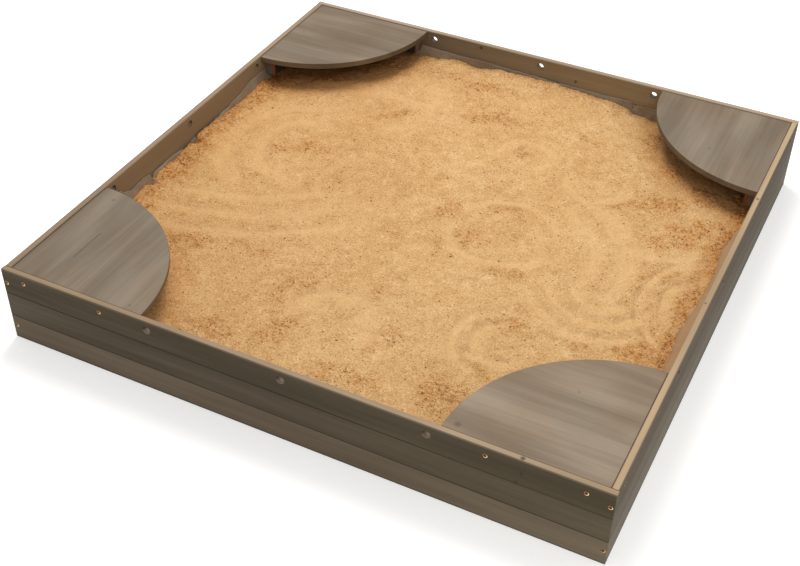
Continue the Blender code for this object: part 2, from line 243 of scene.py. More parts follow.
class Shader:
    """Builds the node tree of one procedural material."""

    def __init__(self, name):
        self.material = bpy.data.materials.new(name)
        self.material.use_nodes = True
        self.tree = self.material.node_tree
        self.surface = self.tree.nodes["Principled BSDF"]
        self.place = self.add("ShaderNodeTexCoord").outputs["Object"]
        self.x, self.y, self.z = self.split(self.place)

    def feed(self, socket, value):
        """Links another node's output to the socket, or sets it to a value."""
        if isinstance(value, bpy.types.NodeSocket):
            self.tree.links.new(value, socket)
        elif isinstance(value, tuple) and len(value) == 3 and len(socket.default_value) == 4:
            socket.default_value = (*value, 1.0)
        else:
            socket.default_value = value

    def add(self, kind, inputs=None, **settings):
        node = self.tree.nodes.new(kind)
        for name, value in settings.items():
            setattr(node, name, value)
        for name, value in (inputs or {}).items():
            self.feed(node.inputs[name], value)
        return node

    def set(self, **inputs):
        """Feeds the surface's own sockets, named with _ for a space."""
        for name, value in inputs.items():
            self.feed(self.surface.inputs[name.replace("_", " ")], value)

    def split(self, vector):
        return self.add("ShaderNodeSeparateXYZ", {0: vector}).outputs

    def lengthwise(self, grain):
        """The coordinates along and across the grain, which runs along X or Y."""
        return (self.x, self.y) if grain == "X" else (self.y, self.x)

    def join(self, x, y, z):
        return self.add("ShaderNodeCombineXYZ", {0: x, 1: y, 2: z}).outputs[0]

    def math(self, operation, a, b=0.0, c=0.0):
        return self.add("ShaderNodeMath", {0: a, 1: b, 2: c}, operation=operation).outputs[0]

    def times(self, a, b):
        return self.math("MULTIPLY", a, b)

    def plus(self, a, b):
        return self.math("ADD", a, b)

    def minus(self, a, b):
        return self.math("SUBTRACT", a, b)

    def size(self, a):
        """The value without its sign."""
        return self.math("ABSOLUTE", a)

    def reach(self, a, b):
        """How far the point (a, b) is from (0, 0)."""
        return self.math("SQRT", self.plus(self.math("POWER", a, 2.0), self.math("POWER", b, 2.0)))

    def blend(self, *parts):
        """The sum of (value, weight) parts."""
        total = self.times(*parts[0])
        for value, weight in parts[1:]:
            total = self.plus(total, self.times(value, weight))
        return total

    def scaled(self, vector, scale):
        inputs = {0: vector, 1: scale}
        return self.add("ShaderNodeVectorMath", inputs, operation="MULTIPLY").outputs[0]

    def noise(self, vector, scale=1.0, detail=2.0, roughness=0.5, distortion=0.0):
        inputs = {
            "Vector": vector,
            "Scale": scale,
            "Detail": detail,
            "Roughness": roughness,
            "Distortion": distortion,
        }
        return self.add("ShaderNodeTexNoise", inputs).outputs[0]

    def cells(self, vector, scale):
        """Voronoi cells: the distance to the nearest point, and a random colour for each cell."""
        node = self.add("ShaderNodeTexVoronoi", {"Vector": vector, "Scale": scale})
        return node.outputs["Distance"], node.outputs["Color"]

    def span(self, value, start, end, low=0.0, high=1.0):
        """Value eased from low at start to high at end."""
        inputs = {0: value, 1: start, 2: end, 3: low, 4: high}
        node = self.add("ShaderNodeMapRange", inputs, interpolation_type="SMOOTHSTEP")
        return node.outputs[0]

    def stops(self, value, *stops):
        """A colour ramp with (position, colour) stops."""
        node = self.add("ShaderNodeValToRGB", {0: value})
        elements = node.color_ramp.elements
        while len(elements) < len(stops):
            elements.new(0.5)
        for element, (position, colour) in zip(elements, stops):
            element.position = position
            element.color = (*colour, 1.0)
        return node.outputs[0]

    def mix(self, share, a, b, blend="MIX"):
        node = self.add("ShaderNodeMix", data_type="RGBA", blend_type=blend)
        self.feed(node.inputs[0], share)
        self.feed(node.inputs[6], a)
        self.feed(node.inputs[7], b)
        return node.outputs[2]

    def tinted(self, colour, tint, share=None):
        """The colour times a tint, all over or by a share."""
        product = self.mix(1.0, colour, tint, "MULTIPLY")
        return product if share is None else self.mix(share, colour, product)

    def attribute(self, name):
        return self.add("ShaderNodeAttribute", attribute_name=name).outputs["Fac"]

    def bump(self, height, distance, strength=1.0):
        inputs = {"Height": height, "Distance": distance, "Strength": strength}
        self.set(Normal=self.add("ShaderNodeBump", inputs).outputs[0])


def grey(value):
    return (value, value, value)


def wood_grain(shader, grain, seed):
    """The grain's bands, streaks, fibres and pores, each from 0 to 1."""
    along, across = shader.lengthwise(grain)
    seeded = shader.plus(along, seed)
    place = shader.join(seeded, across, shader.z)
    drift = shader.noise(shader.scaled(place, GRAIN_DRIFT), detail=1.0)
    sway = shader.times(shader.minus(drift, 0.5), GRAIN_SWAY)
    swayed = shader.join(seeded, shader.plus(across, sway), shader.plus(shader.z, sway))
    bands = shader.noise(shader.scaled(swayed, GRAIN_BANDS), detail=2.0, roughness=0.5)
    streaks = shader.noise(shader.scaled(swayed, GRAIN_STREAKS), detail=3.0, roughness=0.55)
    fibres = shader.noise(shader.scaled(swayed, GRAIN_FIBRES), detail=2.0)
    pores = shader.noise(shader.scaled(swayed, GRAIN_PORES), detail=1.0)
    return bands, streaks, fibres, shader.span(pores, 0.68, 0.78)


def spots_mask(shader, spots):
    """Soft spots, each (x, y, z, radius)."""
    total = 0.0
    for x, y, z, radius in spots:
        inputs = {0: shader.place, 1: (x, y, z)}
        apart = shader.add("ShaderNodeVectorMath", inputs, operation="DISTANCE").outputs["Value"]
        total = shader.math("MAXIMUM", total, shader.span(apart, radius, radius * 0.35))
    return total


def wall_wood(name, grain, knots):
    """Stained boards: dark joints, warmer inner faces, a bare rim, painted contact shade along their
    foot, and painted shade and light in the lashing holes.
    """
    shader = Shader(name)
    along, across = shader.lengthwise(grain)
    depth = shader.size(across)
    # Each board has grain of its own.
    row = shader.math("FLOOR", shader.math("DIVIDE", shader.z, ROW_HEIGHT))
    seed = shader.blend((row, ROW_SEED), (shader.math("SIGN", across), SIDE_SEED))
    bands, streaks, fibres, pores = wood_grain(shader, grain, seed)
    tone = shader.blend((bands, 0.7), (streaks, 0.3))
    tone = shader.math("MULTIPLY_ADD", shader.minus(tone, 0.5), GRAIN_DEPTHS[grain], 0.5)
    # The upper board is the darkest, and the lower ones pale towards the right.
    bottom, middle, top = BOARD_TINTS[grain]
    board = shader.mix(shader.math("GREATER_THAN", shader.z, ROW_HEIGHT), bottom, middle)
    board = shader.mix(shader.math("GREATER_THAN", shader.z, 2 * ROW_HEIGHT), board, top)
    stain = shader.tinted(shader.stops(tone, *WALL_STAIN), board)
    pale = shader.times(shader.span(shader.x, -0.1, 0.6), shader.span(shader.z, 0.19, 0.03))
    stain = shader.tinted(stain, PALE_TINTS[grain], pale)
    stain = shader.tinted(stain, FAR_TINTS[grain], shader.span(shader.y, -0.55, 0.75))
    # The inner faces are bare of stain and warmer.
    inside = shader.math("LESS_THAN", depth, INNER + 0.001)
    warm = shader.mix(shader.span(shader.x, -0.30, 0.22), *INSIDE_TINTS[grain])
    stain = shader.mix(inside, stain, shader.tinted(shader.stops(tone, *INSIDE_STAIN), warm))
    stain = shader.mix(shader.times(pores, 0.25), stain, WALL_PORES)
    # The joints between the boards are dark lines.
    step = shader.math("DIVIDE", shader.z, ROW_HEIGHT)
    apart = shader.size(shader.minus(step, shader.math("ROUND", step)))
    between = shader.math("COMPARE", shader.z, WALL_TOP / 2, WALL_TOP * 0.3)
    faded = shader.times(shader.span(shader.x, 0.1, 0.5), shader.span(shader.z, 0.08, 0.09))
    joint = shader.times(shader.span(apart, 0.030, 0.006), between)
    joint = shader.times(joint, shader.minus(1.0, shader.times(faded, 0.8)))
    stain = shader.mix(shader.times(joint, JOINT_DEPTHS[grain]), stain, WALL_JOINTS)
    # Painted contact shade darkens the edges that the box stands on.
    stain = shader.mix(shader.span(shader.z, 0.007, 0.001, 0.0, 0.6), stain, WALL_FOOT_SHADE)
    # The rim is bare between its stained corners.
    beyond = shader.math("GREATER_THAN", across, 0.0)
    rim = shader.tinted(shader.stops(bands, *RIM_WOOD), shader.mix(beyond, *RIM_TINTS[grain]))
    edge = shader.math("GREATER_THAN", shader.z, WALL_TOP - RIM_SKIN)
    bare = shader.times(edge, shader.span(depth, HALF - 0.0004, HALF - 0.0030, 0.25, 1.0))
    bare = shader.times(bare, shader.span(depth, INNER + 0.0002, INNER + 0.0022, 0.30, 1.0))
    colour = shader.mix(bare, stain, rim)
    # The lashing holes' bores are painted shade, with a painted lit side low down by the inner face.
    folded = shader.size(along)
    folded = shader.math("MINIMUM", folded, shader.size(shader.minus(folded, HOLE_PITCH)))
    rise = shader.minus(shader.z, HOLE_HEIGHT)
    lower = shader.span(rise, 0.001, -0.006)
    lit = shader.times(lower, shader.span(depth, INNER - 0.001, INNER + 0.003))
    hole = shader.span(shader.reach(folded, rise), HOLE_RADIUS + 0.0008, HOLE_RADIUS + 0.0002)
    colour = shader.mix(hole, colour, shader.mix(lit, *BORE_SHADE_AND_LIGHT))
    colour = shader.mix(shader.times(spots_mask(shader, knots), 0.75), colour, WALL_KNOT)
    shader.set(
        Base_Color=colour,
        Roughness=shader.span(tone, 0.3, 0.7, 0.76, 0.60),
        Specular_IOR_Level=0.25,
    )
    shader.bump(shader.blend((streaks, 0.6), (fibres, 0.3), (pores, -0.4)), 0.0005, 0.35)
    return shader.material


def seat_wood(name, grain, seed, tint, marks, crack):
    """A stained seat: broad soft bands of grain, fine fibres, small marks and perhaps a crack."""
    shader = Shader(name)
    bands, streaks, fibres, pores = wood_grain(shader, grain, seed)
    scale = (3.0, 14.0, 14.0) if grain == "X" else (14.0, 3.0, 14.0)
    boards = shader.noise(shader.scaled(shader.place, scale), detail=1.0, distortion=0.3)
    tone = shader.blend((bands, 0.40), (boards, 0.42), (streaks, 0.18))
    # The stain is greener in some places and more mauve in others.
    clouds = shader.noise(shader.place, 9.0, 2.0)
    colour = shader.tinted(shader.stops(tone, *SEAT_STAIN), shader.stops(clouds, *SEAT_CLOUDS))
    colour = shader.tinted(colour, tint)
    # The sawn edge has taken up more stain.
    facing = shader.split(shader.add("ShaderNodeNewGeometry").outputs["Normal"])[2]
    colour = shader.tinted(colour, SEAT_EDGE, shader.span(shader.size(facing), 0.6, 0.4))
    colour = shader.mix(shader.times(pores, 0.22), colour, SEAT_PORES)
    spots = spots_mask(shader, [(x, y, SEAT_TOP, radius) for x, y, radius in marks])
    colour = shader.mix(shader.times(spots, 0.45), colour, SEAT_MARK)
    if crack:
        place, start, end = crack
        bend = shader.math("MULTIPLY_ADD", shader.noise(shader.place, 18.0), 0.008, place - 0.004)
        apart = shader.size(shader.minus(shader.x, bend))
        within = shader.math("COMPARE", shader.y, (start + end) / 2, (end - start) / 2)
        line = shader.times(shader.span(apart, 0.0012, 0.0004), within)
        colour = shader.mix(shader.times(line, 0.65), colour, SEAT_CRACK)
    shader.set(
        Base_Color=colour,
        Roughness=shader.span(tone, 0.3, 0.7, 0.66, 0.52),
        Specular_IOR_Level=0.3,
    )
    shader.bump(shader.blend((streaks, 0.6), (fibres, 0.4), (pores, -0.4)), 0.0004, 0.30)
    return shader.material


def cleat_wood(name, grain):
    """Dark stained bars, their dark stain also painted shade from the seats above, the stain stopping
    short of the inner edge of the sawn end.
    """
    shader = Shader(name)
    along, across = shader.lengthwise(grain)
    bands, streaks, fibres, pores = wood_grain(shader, grain, CLEAT_SEED)
    tone = shader.blend((bands, 0.5), (streaks, 0.5))
    rings = shader.noise(shader.scaled(shader.place, (160.0, 160.0, 160.0)), detail=3.0)
    grained = shader.blend((rings, 0.6), (pores, 0.3))
    inset = shader.minus(INNER, shader.size(across))
    raw = shader.span(inset, 0.0175, 0.0190)
    end = shader.mix(raw, shader.stops(grained, *SAWN_WOOD), shader.stops(grained, *RAW_WOOD))
    sawn = shader.math("LESS_THAN", shader.size(along), CLEAT_END + 0.0006)
    # The cleats' sides are painted dark as shade under the seats, as well as stained.
    shader.set(
        Base_Color=shader.mix(sawn, shader.stops(tone, *CLEAT_STAIN_AND_SHADE), end),
        Roughness=shader.span(tone, 0.3, 0.7, 0.86, 0.72),
        Specular_IOR_Level=0.2,
    )
    shader.bump(shader.plus(streaks, shader.times(fibres, 0.5)), 0.0005, 0.4)
    return shader.material


def brass(name, first, second):
    """A screw's head seen face on: a worn ring with painted light low on one side and painted shade on
    the other, round a recess painted dark as shade.
    """
    shader = Shader(name)
    spot = shader.split(shader.add("ShaderNodeTexCoord").outputs["Generated"])
    tarnish = shader.noise(shader.place, 420.0, 3.0, 0.6)
    scratches = shader.noise(shader.scaled(shader.place, (5200.0, 900.0, 5200.0)), detail=1.0)
    right, up = (shader.minus(spot[axis], 0.5) for axis in (first, second))
    # The recess is painted dark as shade, and the ring is painted lit low on one side and shaded on the
    # other.
    recess = shader.span(shader.reach(right, up), 0.38, 0.27)
    lit = shader.span(shader.minus(right, up), -0.25, 0.30)
    colour = shader.mix(lit, BRASS_PAINTED_SHADE, shader.stops(tarnish, *BRASS))
    wear = shader.math("MULTIPLY_ADD", scratches, 0.3, tarnish)
    shader.set(
        Base_Color=shader.mix(recess, colour, SCREW_RECESS_SHADE),
        Metallic=shader.span(recess, 0.2, 0.8, 1.0, 0.2),
        Roughness=shader.span(wear, 0.4, 0.9, 0.5, 0.3),
    )
    shader.bump(scratches, 0.00005, 0.5)
    return shader.material


def liner_fabric(name):
    """Thin grey-taupe spun fabric: matted threads, a faint pressed grid, dust from the sand, painted
    shade along the back wall and a painted highlight on its hem.
    """
    shader = Shader(name)
    spun = shader.scaled(shader.place, (900.0, 900.0, 420.0))
    threads = shader.noise(spun, detail=3.0, roughness=0.7)
    pressed, _ = shader.cells(shader.place, 520.0)
    clouds = shader.noise(shader.place, 16.0, 3.0, 0.6)
    tone = shader.blend((clouds, 0.6), (threads, 0.4))
    colour = shader.stops(tone, *LINER_TONES)
    # Painted shade darkens it along the middle of the back wall.
    middle = shader.times(shader.span(shader.x, -0.25, -0.21), shader.span(shader.x, 0.20, 0.08))
    middle = shader.times(middle, shader.span(shader.y, 0.50, 0.58))
    colour = shader.tinted(colour, LINER_BACK_SHADE, middle)
    # Sand clings to its lower part, most of all along the right wall.
    low = shader.span(shader.z, 0.126, 0.100)
    patches = shader.span(shader.noise(shader.place, 55.0, 4.0, 0.7), 0.44, 0.68, 0.0, 0.5)
    right = shader.span(shader.x, 0.55, 0.585, 0.0, 0.75)
    dust = shader.math("MAXIMUM", shader.times(low, patches), right)
    colour = shader.mix(dust, colour, shader.stops(threads, *LINER_DUST))
    # A painted highlight lightens the hem.
    colour = shader.mix(shader.times(shader.attribute("hem"), 0.35), colour, LINER_HEM_HIGHLIGHT)
    shader.set(
        Base_Color=colour,
        Roughness=shader.span(threads, 0.3, 0.7, 0.92, 0.74),
        Sheen_Weight=0.15,
        Sheen_Roughness=0.4,
    )
    shader.bump(shader.plus(threads, shader.times(pressed, 0.35)), 0.0005, 0.5)
    return shader.material


def sand_bits_shadows_and_highlights(shader, colour, stirred, swept):
    """Adds single bits: dark ones, thickest where it is stirred and partly painted shadows of clods,
    and a few pale ones, partly painted highlights.
    """
    noise = shader.add("ShaderNodeTexNoise", {"Vector": shader.place, "Scale": 260.0})
    inputs = {0: noise.outputs["Color"], 1: grey(0.007), 2: shader.place}
    warped = shader.add("ShaderNodeVectorMath", inputs, operation="MULTIPLY_ADD").outputs[0]
    inputs = {"Vector": warped, "Rotation": (0.0, 0.0, -0.45), "Scale": (0.75, 1.25, 1.0)}
    warped = shader.add("ShaderNodeMapping", inputs).outputs[0]
    clusters = shader.span(shader.noise(shader.place, 24.0, 3.0), 0.52, 0.66, 0.0, 0.12)
    density = shader.math("MULTIPLY_ADD", stirred, 0.50, clusters)
    density = shader.math("MULTIPLY_ADD", swept, -0.08, density)
    # The dark bits are partly painted clod shadows, and the pale ones partly painted highlights.
    for scale, radius, kept, tint, share in SAND_BITS_SHADOWS_AND_HIGHLIGHTS:
        apart, pick = shader.cells(warped, scale)
        allowed = shader.math("GREATER_THAN", shader.plus(shader.split(pick)[1], density), kept)
        speck = shader.times(shader.span(apart, radius, radius * 0.5), allowed)
        colour = shader.mix(shader.times(speck, share), colour, tint)
    return colour


def sand_grains(name):
    """Dry golden sand: fine many-coloured grains, clods and dark bits where it has been stirred,
    painted shade and highlights among its crumbs, and painted shade by the seats.
    """
    shader = Shader(name)
    stirred = shader.attribute("stirred")
    swept = shader.attribute("swept")
    clouds = shader.noise(shader.place, 7.0, 3.0, 0.55)
    mottle = shader.noise(shader.place, 40.0, 4.0, 0.62)
    grit = shader.noise(shader.place, 210.0, 3.0, 0.85)
    crumbs = shader.noise(shader.place, 130.0, 3.0, 0.75)
    grains = shader.noise(shader.place, 360.0, 2.0, 0.7)
    tone = shader.blend((mottle, 0.32), (grit, 0.52), (clouds, 0.16))
    colour = shader.stops(tone, *SAND_TONES)
    # Dark and pale grains. The dark ones are strongest where it has been stirred.
    strength = shader.span(stirred, 0.0, 0.6, 0.60, 1.25)
    dark = shader.times(shader.span(grains, 0.47, 0.30, 0.0, 0.75), strength)
    colour = shader.mix(dark, colour, SAND_DARK)
    strength = shader.span(stirred, 0.0, 0.7, 0.60, 0.35)
    pale = shader.times(shader.span(grains, 0.53, 0.70, 0.0, 0.80), strength)
    colour = shader.mix(pale, colour, SAND_PALE)
    # Stirred sand is redder, with painted shade in the gaps and painted highlights on the tops among
    # its crumbs.
    crumbly = shader.span(stirred, 0.05, 0.80)
    redder = shader.times(crumbly, shader.span(mottle, 0.62, 0.36, 0.45, 1.0))
    sides = shader.span(shader.size(shader.x), 0.30, 0.55, 0.62, 1.0)
    colour = shader.tinted(colour, SAND_DEEP, shader.times(redder, sides))
    gap_shade = shader.times(shader.span(crumbs, 0.455, 0.375), crumbly)
    colour = shader.mix(shader.times(gap_shade, 0.80), colour, SAND_GAP_SHADE)
    top_highlight = shader.times(shader.span(crumbs, 0.52, 0.62), crumbly)
    colour = shader.mix(shader.times(top_highlight, 0.45), colour, SAND_TOP_HIGHLIGHT)
    colour = shader.mix(shader.times(swept, 0.45), colour, SAND_SWEPT)
    # Painted shade by the back seats, and painted warm shade by the front left one.
    colour = shader.tinted(colour, SAND_SEAT_SHADE, shader.attribute("damp"))
    colour = shader.tinted(colour, SAND_WARM_SHADE, shader.attribute("warm"))
    across = shader.math("MULTIPLY_ADD", shader.x, 0.5 / INNER, 0.5)
    colour = shader.tinted(colour, shader.stops(across, *SAND_ACROSS))
    shader.set(
        Base_Color=sand_bits_shadows_and_highlights(shader, colour, stirred, swept),
        Roughness=shader.span(grit, 0.3, 0.7, 0.98, 0.86),
        Specular_IOR_Level=0.1,
    )
    rough = shader.times(crumbs, shader.span(stirred, 0.0, 0.8, 0.5, 1.6))
    shader.bump(shader.plus(shader.times(grit, 0.55), rough), 0.0045, 0.75)
    return shader.material


# Sand

SAND_CELLS = 400
# How far from the walls the sand's edge is drawn in, and how far its shore lines are felt
SAND_EDGE_FALL = 0.060
SHORE_FALL = 0.020
# The relief's heights and spacings, from the broadest to the finest
SWELL_HEIGHT, SWELL_SPACING = 0.0035, 0.22
RIPPLE_HEIGHT, RIPPLE_SPACING = 0.0012, 0.035
CRUMB_HEIGHT, CRUMB_SPACING = 0.0026, 0.013
CLOD_HEIGHT, CLOD_SPACING = 0.0032, 0.012
SMOOTH_CRUMB_HEIGHT = 0.0004
# How far noise pushes the outlines of the stirred patches about, and its spacing
OUTLINE_PUSH, OUTLINE_SPACING = 0.022, 0.085
# How far from a seat the sand's painted shade reaches
SEAT_SHADE = 0.060
# Where the sand has been stirred rough: x, y, half its length, half its width and its turn in degrees.
STIRRED = (
    (-0.355, 0.105, 0.050, 0.035, 20), (-0.417, 0.050, 0.035, 0.022, 40),
    (-0.395, -0.050, 0.045, 0.022, -10), (-0.267, -0.208, 0.075, 0.035, 10),
    (-0.410, -0.290, 0.050, 0.028, -30), (-0.140, -0.340, 0.065, 0.035, 80),
    (0.010, -0.295, 0.045, 0.028, 60), (0.083, -0.400, 0.060, 0.030, 70),
    (-0.110, -0.455, 0.060, 0.035, 60), (-0.230, -0.520, 0.070, 0.040, 10),
    (0.255, -0.480, 0.050, 0.050, 0), (0.060, -0.520, 0.080, 0.035, 0),
    (0.125, 0.092, 0.075, 0.024, 5), (0.095, -0.050, 0.050, 0.040, 30),
    (0.195, -0.095, 0.060, 0.022, -15), (0.020, 0.036, 0.045, 0.022, 60),
    (0.330, 0.205, 0.060, 0.024, 25), (0.420, 0.255, 0.075, 0.032, 25),
    (0.520, 0.190, 0.075, 0.045, 40), (0.565, 0.240, 0.060, 0.030, 70),
    (0.470, 0.120, 0.050, 0.030, 70), (0.490, -0.020, 0.140, 0.026, 88),
    (0.560, 0.080, 0.110, 0.026, 85), (0.525, -0.200, 0.075, 0.050, 80),
    (0.580, -0.100, 0.120, 0.024, 88), (0.420, -0.240, 0.040, 0.025, 40),
    (-0.550, 0.120, 0.110, 0.030, 75), (-0.570, -0.140, 0.090, 0.040, 85),
    (-0.560, -0.235, 0.045, 0.035, 60), (-0.470, 0.215, 0.035, 0.025, 20),
    (-0.110, 0.520, 0.110, 0.028, -5), (-0.210, 0.530, 0.070, 0.025, 0),
    (-0.370, 0.500, 0.080, 0.035, 45), (-0.470, 0.400, 0.070, 0.035, 45),
    (0.330, 0.480, 0.045, 0.022, -70), (0.390, 0.400, 0.070, 0.022, -50),
    (0.500, 0.330, 0.060, 0.022, -30), (0.080, 0.300, 0.030, 0.022, 80),
    (0.290, -0.260, 0.050, 0.020, 0), (-0.020, 0.400, 0.080, 0.018, 15),
    (-0.230, 0.330, 0.070, 0.018, 35), (0.265, -0.370, 0.060, 0.020, -35),
    (-0.510, -0.320, 0.060, 0.016, 25), (0.190, 0.430, 0.060, 0.016, -20),
)
# Strokes swept by hand: centre x, y, radius, the turns in degrees that it runs between, width, depth.
STROKES = (
    (-0.345, 0.090, 0.190, 85, 250, 0.040, 0.0045),
    (-0.345, 0.090, 0.120, 95, 285, 0.032, 0.0040),
    (-0.300, 0.140, 0.250, 60, 130, 0.035, 0.0035),
    (0.090, 0.300, 0.058, -60, 220, 0.024, 0.0040),
    (0.270, 0.262, 0.062, 170, 360, 0.030, 0.0055),
    (0.160, 0.010, 0.110, 15, 165, 0.022, 0.0035),
    (0.160, 0.020, 0.120, 195, 345, 0.022, 0.0035),
    (0.190, -0.030, 0.175, -25, 80, 0.026, 0.0026),
    (0.190, -0.030, 0.240, -30, 75, 0.028, 0.0024),
    (0.405, -0.070, 0.060, 190, 345, 0.022, 0.0035),
    (0.405, -0.070, 0.105, 195, 350, 0.024, 0.0045),
    (0.410, -0.070, 0.150, 200, 330, 0.024, 0.0040),
    (0.620, -0.040, 0.090, 95, 260, 0.022, 0.0035),
    (0.630, -0.040, 0.150, 100, 250, 0.022, 0.0035),
    (0.290, -0.310, 0.050, 100, 345, 0.024, 0.0045),
    (0.290, -0.310, 0.092, 120, 250, 0.022, 0.0040),
    (-0.565, 0.295, 0.460, -100, -40, 0.024, 0.0025),
    (-0.565, 0.295, 0.520, -100, -35, 0.022, 0.0025),
    (-0.565, 0.295, 0.580, -95, -30, 0.026, 0.0025),
    (-0.330, 0.360, 0.150, -60, 60, 0.040, 0.0030),
    (-0.020, -0.420, 0.110, 60, 170, 0.034, 0.0030),
    (0.140, -0.330, 0.110, 150, 240, 0.030, 0.0030),
    (0.450, 0.190, 0.120, 200, 330, 0.022, 0.0030),
)
# How high the sand's edge and the liner's hem stand, against the distance along the wall from its
# middle, towards +Y at the side walls and towards +X at the front and the back.
LEFT_SHORE = (
    (-0.60, 0.104), (-0.233, 0.099), (-0.189, 0.104), (-0.165, 0.092), (-0.157, 0.102),
    (-0.121, 0.110), (-0.070, 0.104), (-0.017, 0.112), (0.005, 0.099), (0.016, 0.117),
    (0.060, 0.115), (0.130, 0.110), (0.208, 0.104), (0.298, 0.110), (0.330, 0.098),
    (0.60, 0.100),
)
BACK_SHORE = (
    (-0.60, 0.098), (-0.292, 0.105), (-0.208, 0.115), (-0.165, 0.107), (-0.098, 0.118),
    (0.036, 0.120), (0.093, 0.115), (0.185, 0.110), (0.230, 0.102), (0.245, 0.092),
    (0.305, 0.086), (0.60, 0.096),
)
LEFT_HEM = (
    (-0.60, 0.110), (-0.298, 0.113), (-0.270, 0.138), (-0.254, 0.126), (-0.231, 0.117),
    (-0.188, 0.120), (-0.168, 0.119), (-0.158, 0.103), (-0.146, 0.113), (-0.092, 0.114),
    (-0.022, 0.109), (0.050, 0.115), (0.133, 0.114), (0.176, 0.120), (0.268, 0.133),
    (0.318, 0.132), (0.326, 0.113), (0.60, 0.112),
)
BACK_HEM = (
    (-0.60, 0.112), (-0.324, 0.113), (-0.316, 0.130), (-0.204, 0.127), (-0.159, 0.128),
    (-0.081, 0.125), (0.005, 0.123), (0.080, 0.121), (0.160, 0.120), (0.234, 0.122),
    (0.238, 0.102), (0.251, 0.116), (0.298, 0.117), (0.316, 0.113), (0.60, 0.112),
)
RIGHT_SHORE = ((-0.60, 0.100), (-0.30, 0.104), (0.0, 0.107), (0.30, 0.103), (0.60, 0.098))
RIGHT_HEM = (
    (-0.60, 0.112), (-0.33, 0.113), (-0.28, 0.124), (0.0, 0.126), (0.28, 0.124),
    (0.33, 0.113), (0.60, 0.112),
)
FRONT_HEM = (
    (-0.60, 0.112), (-0.33, 0.113), (-0.28, 0.121), (0.0, 0.119), (0.28, 0.122),
    (0.33, 0.113), (0.60, 0.112),
)
# How far the liner stands in from the right wall at the sand.
RIGHT_SLUMP = (
    (-0.60, 0.010), (-0.34, 0.015), (-0.20, 0.026), (-0.12, 0.029), (0.00, 0.019),
    (0.08, 0.018), (0.16, 0.025), (0.23, 0.020), (0.27, 0.010), (0.34, 0.006),
    (0.60, 0.006),
)
# Where these lines end, and where the ripples of each wall's liner start in their noise.
LINE_END = 0.60
RIPPLE_STARTS = {"left": 0.3, "back": 0.9, "right": 1.7, "front": 2.4}
LINER_STAND = 0.0042
SAND_CEILING = WALL_TOP - 0.020


def profile(places, points):
    """A smooth curve through the (place, value) points."""
    known = np.array(points)
    share = np.interp(places, known[:, 0], np.arange(len(known)))
    index = np.clip(share.astype(int), 0, len(known) - 2)
    part = share - index
    part = part * part * (3 - 2 * part)
    return known[index, 1] * (1 - part) + known[index + 1, 1] * part


def liner_inset(wall, along):
    """How far the liner stands in from the wall at the sand's surface."""
    ripple = 0.0016 * fractal(along, RIPPLE_STARTS[wall], 0.055, 3, 71)
    if wall == "right":
        return np.maximum(profile(along, RIGHT_SLUMP) + ripple, 0.003)
    return LINER_STAND + np.abs(ripple) + ripple


def cad_sand_top(count):
    """The plain sand's height on a grid of count points a side, smoothed between its vertices."""
    points = np.array([vert.co for vert in nodes["sand_fill"].data.vertices])
    points = points[points[:, 2] > (SAND_BOX[0].z + SAND_BOX[1].z) / 2]
    keys = np.unique(np.round(points[:, 0], 4))
    grid = np.zeros((len(keys), len(keys)))
    columns = np.searchsorted(keys, np.round(points[:, 0], 4))
    rows = np.searchsorted(keys, np.round(points[:, 1], 4))
    grid[rows, columns] = points[:, 2]
    ticks = np.linspace(keys[0], keys[-1], count)
    wide = np.array([np.interp(ticks, keys, line) for line in grid])
    full = np.array([np.interp(ticks, keys, line) for line in wide.T]).T
    reach = int(count / len(keys))
    kernel = np.hanning(2 * reach + 1)
    kernel /= kernel.sum()
    padded = np.pad(full, reach, mode="edge")
    blurred = np.array([np.convolve(line, kernel, "valid") for line in padded])
    return np.array([np.convolve(line, kernel, "valid") for line in blurred.T]).T


def stroke_relief(x, y):
    """The swept strokes: shallow troughs with finger lines and a low bank on the outside."""
    relief = np.zeros_like(x)
    swept = np.zeros_like(x)
    for order, (cx, cy, radius, start, end, width, depth) in enumerate(STROKES):
        turn = np.degrees(np.arctan2(y - cy, x - cx))
        middle, spread = (start + end) / 2, (end - start) / 2
        off = np.abs((turn - middle + 180) % 360 - 180)
        ends = smooth_step(off, spread + 12, spread - 22)
        wobble = 0.18 * width * fractal(x, y, 0.07, 2, 200 + order)
        apart = (np.hypot(x - cx, y - cy) - radius + wobble) / width
        trough = np.exp(-((1.35 * apart) ** 2))
        bank = np.exp(-((2.6 * (apart - 0.85)) ** 2)) + 0.6 * np.exp(-((2.6 * (apart + 0.85)) ** 2))
        fingers = 0.16 * np.cos(apart * 11.0 + fractal(x, y, 0.05, 2, 300 + order)) * trough
        relief += ends * depth * (0.75 * bank - 0.9 * trough + fingers)
        swept = np.maximum(swept, ends * trough)
    return relief, swept


